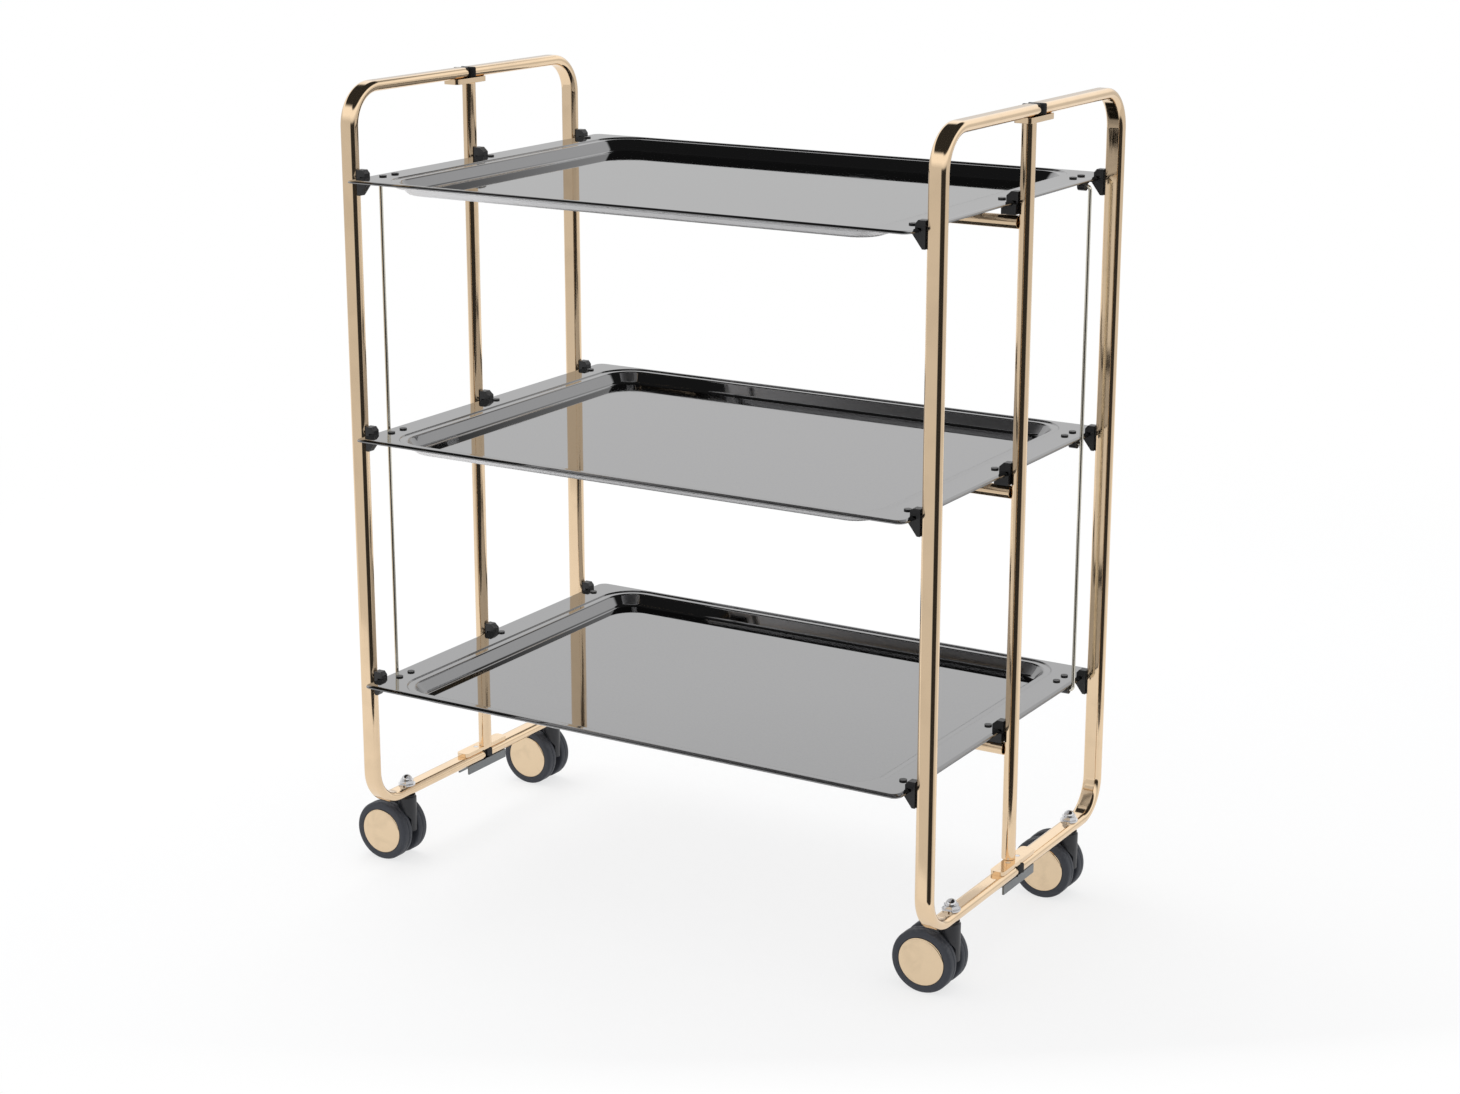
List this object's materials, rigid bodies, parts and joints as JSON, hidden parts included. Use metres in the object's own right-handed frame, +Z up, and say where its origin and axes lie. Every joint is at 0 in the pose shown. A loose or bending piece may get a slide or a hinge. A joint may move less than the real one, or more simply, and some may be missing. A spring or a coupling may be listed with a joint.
{
  "type": "folding serving trolley",
  "caption": "Folding serving trolley with stacked dished trays in flat-oval tube end frames, hinged half frames, link rods and twin-wheel swivel casters.",
  "frame": {"origin": "on the floor, at the middle of the trolley's outline seen from above", "axes": "+X along the trays to the right-hand end frame, +Y to the rear, +Z up"},
  "size_m": [0.667, 0.412, 0.778],
  "materials": {
    "gold_metal": "polished pale gold plating",
    "gold_cap": "plated pale gold on plastic",
    "smoked_sheet": "smoked black-chrome plating",
    "black_plastic": "semi-matt moulded black",
    "tyre": "matt dark grey-black",
    "zinc_steel": "grey zinc plating",
    "pin_steel": "bright steel"
  },
  "bodies": {
    "frame": {"post_left": "gold_metal", "post_right": "gold_metal", "hinge_bar_left": "gold_metal", "hinge_bar_right": "gold_metal", "base_strap_left": "gold_metal", "base_strap_right": "gold_metal", "foot_strap_left": "zinc_steel", "foot_strap_right": "zinc_steel", "frame_tube_front_left": "gold_metal", "frame_tube_rear_left": "gold_metal", "frame_tube_front_right": "gold_metal", "frame_tube_rear_right": "gold_metal", "rail_plugs": "black_plastic", "hinge_pins": "pin_steel", "tray_pivot_pins": "pin_steel", "cap_nuts": "pin_steel", "caster_stems": "pin_steel"},
    "tray_top": {"tray_pan_top": "smoked_sheet", "cross_tube_top": "gold_metal", "corner_clips_top": "black_plastic", "pivot_brackets_top": "black_plastic", "rod_lugs_top": "black_plastic"},
    "tray_middle": {"tray_pan_middle": "smoked_sheet", "cross_tube_middle": "gold_metal", "corner_clips_middle": "black_plastic", "pivot_brackets_middle": "black_plastic", "rod_lugs_middle": "black_plastic"},
    "tray_bottom": {"tray_pan_bottom": "smoked_sheet", "cross_tube_bottom": "gold_metal", "corner_clips_bottom": "black_plastic", "pivot_brackets_bottom": "black_plastic", "rod_lugs_bottom": "black_plastic"},
    "link_rod_left": {"link_rod_left": "pin_steel"},
    "link_rod_right": {"link_rod_right": "pin_steel"},
    "caster_front_left": {"caster_body_front_left": "black_plastic", "caster_axle_front_left": "pin_steel"},
    "wheel_front_left_front": {"wheel_front_left_front": "tyre", "wheel_cap_front_left_front": "gold_cap"},
    "wheel_front_left_rear": {"wheel_front_left_rear": "tyre", "wheel_cap_front_left_rear": "gold_cap"},
    "caster_rear_left": {"caster_body_rear_left": "black_plastic", "caster_axle_rear_left": "pin_steel"},
    "wheel_rear_left_front": {"wheel_rear_left_front": "tyre", "wheel_cap_rear_left_front": "gold_cap"},
    "wheel_rear_left_rear": {"wheel_rear_left_rear": "tyre", "wheel_cap_rear_left_rear": "gold_cap"},
    "caster_front_right": {"caster_body_front_right": "black_plastic", "caster_axle_front_right": "pin_steel"},
    "wheel_front_right_front": {"wheel_front_right_front": "tyre", "wheel_cap_front_right_front": "gold_cap"},
    "wheel_front_right_rear": {"wheel_front_right_rear": "tyre", "wheel_cap_front_right_rear": "gold_cap"},
    "caster_rear_right": {"caster_body_rear_right": "black_plastic", "caster_axle_rear_right": "pin_steel"},
    "wheel_rear_right_front": {"wheel_rear_right_front": "tyre", "wheel_cap_rear_right_front": "gold_cap"},
    "wheel_rear_right_rear": {"wheel_rear_right_rear": "tyre", "wheel_cap_rear_right_rear": "gold_cap"}
  },
  "joints": [
    {"name": "tray_top_tilt", "type": "hinge", "parent": "frame", "child": "tray_top", "pos_m": [0.0205, 0, 0.6874], "axis": [1, 0, 0], "range_deg": [0, 45]},
    {"name": "tray_middle_tilt", "type": "hinge", "parent": "frame", "child": "tray_middle", "pos_m": [0.0205, 0, 0.4445], "axis": [1, 0, 0], "range_deg": [0, 45]},
    {"name": "tray_bottom_tilt", "type": "hinge", "parent": "frame", "child": "tray_bottom", "pos_m": [0.0205, 0, 0.2016], "axis": [1, 0, 0], "range_deg": [0, 45]},
    {"name": "link_rod_left_pivot", "type": "hinge", "parent": "tray_top", "child": "link_rod_left", "pos_m": [-0.2718, -0.15, 0.6874], "axis": [1, 0, 0], "range_deg": [-45, 0]},
    {"name": "link_rod_right_pivot", "type": "hinge", "parent": "tray_top", "child": "link_rod_right", "pos_m": [0.3128, 0.15, 0.6874], "axis": [1, 0, 0], "range_deg": [-45, 0]},
    {"name": "caster_front_left_swivel", "type": "hinge", "parent": "frame", "child": "caster_front_left", "pos_m": [-0.283, -0.126, 0.0662], "axis": [0, 0, 1], "continuous": true},
    {"name": "wheel_front_left_front_roll", "type": "hinge", "parent": "caster_front_left", "child": "wheel_front_left_front", "pos_m": [-0.303, -0.126, 0.03], "axis": [0, 1, 0], "continuous": true},
    {"name": "wheel_front_left_rear_roll", "type": "hinge", "parent": "caster_front_left", "child": "wheel_front_left_rear", "pos_m": [-0.303, -0.126, 0.03], "axis": [0, 1, 0], "continuous": true},
    {"name": "caster_rear_left_swivel", "type": "hinge", "parent": "frame", "child": "caster_rear_left", "pos_m": [-0.283, 0.126, 0.0662], "axis": [0, 0, 1], "continuous": true},
    {"name": "wheel_rear_left_front_roll", "type": "hinge", "parent": "caster_rear_left", "child": "wheel_rear_left_front", "pos_m": [-0.303, 0.126, 0.03], "axis": [0, 1, 0], "continuous": true},
    {"name": "wheel_rear_left_rear_roll", "type": "hinge", "parent": "caster_rear_left", "child": "wheel_rear_left_rear", "pos_m": [-0.303, 0.126, 0.03], "axis": [0, 1, 0], "continuous": true},
    {"name": "caster_front_right_swivel", "type": "hinge", "parent": "frame", "child": "caster_front_right", "pos_m": [0.324, -0.126, 0.0662], "axis": [0, 0, 1], "continuous": true},
    {"name": "wheel_front_right_front_roll", "type": "hinge", "parent": "caster_front_right", "child": "wheel_front_right_front", "pos_m": [0.304, -0.126, 0.03], "axis": [0, 1, 0], "continuous": true},
    {"name": "wheel_front_right_rear_roll", "type": "hinge", "parent": "caster_front_right", "child": "wheel_front_right_rear", "pos_m": [0.304, -0.126, 0.03], "axis": [0, 1, 0], "continuous": true},
    {"name": "caster_rear_right_swivel", "type": "hinge", "parent": "frame", "child": "caster_rear_right", "pos_m": [0.324, 0.126, 0.0662], "axis": [0, 0, 1], "continuous": true},
    {"name": "wheel_rear_right_front_roll", "type": "hinge", "parent": "caster_rear_right", "child": "wheel_rear_right_front", "pos_m": [0.304, 0.126, 0.03], "axis": [0, 1, 0], "continuous": true},
    {"name": "wheel_rear_right_rear_roll", "type": "hinge", "parent": "caster_rear_right", "child": "wheel_rear_right_rear", "pos_m": [0.304, 0.126, 0.03], "axis": [0, 1, 0], "continuous": true}
  ],
  "couplings": [
    {"joint": "tray_middle_tilt", "follows": "tray_top_tilt", "ratio": 1},
    {"joint": "tray_bottom_tilt", "follows": "tray_top_tilt", "ratio": 1},
    {"joint": "link_rod_left_pivot", "follows": "tray_top_tilt", "ratio": -1},
    {"joint": "link_rod_right_pivot", "follows": "tray_top_tilt", "ratio": -1}
  ]
}
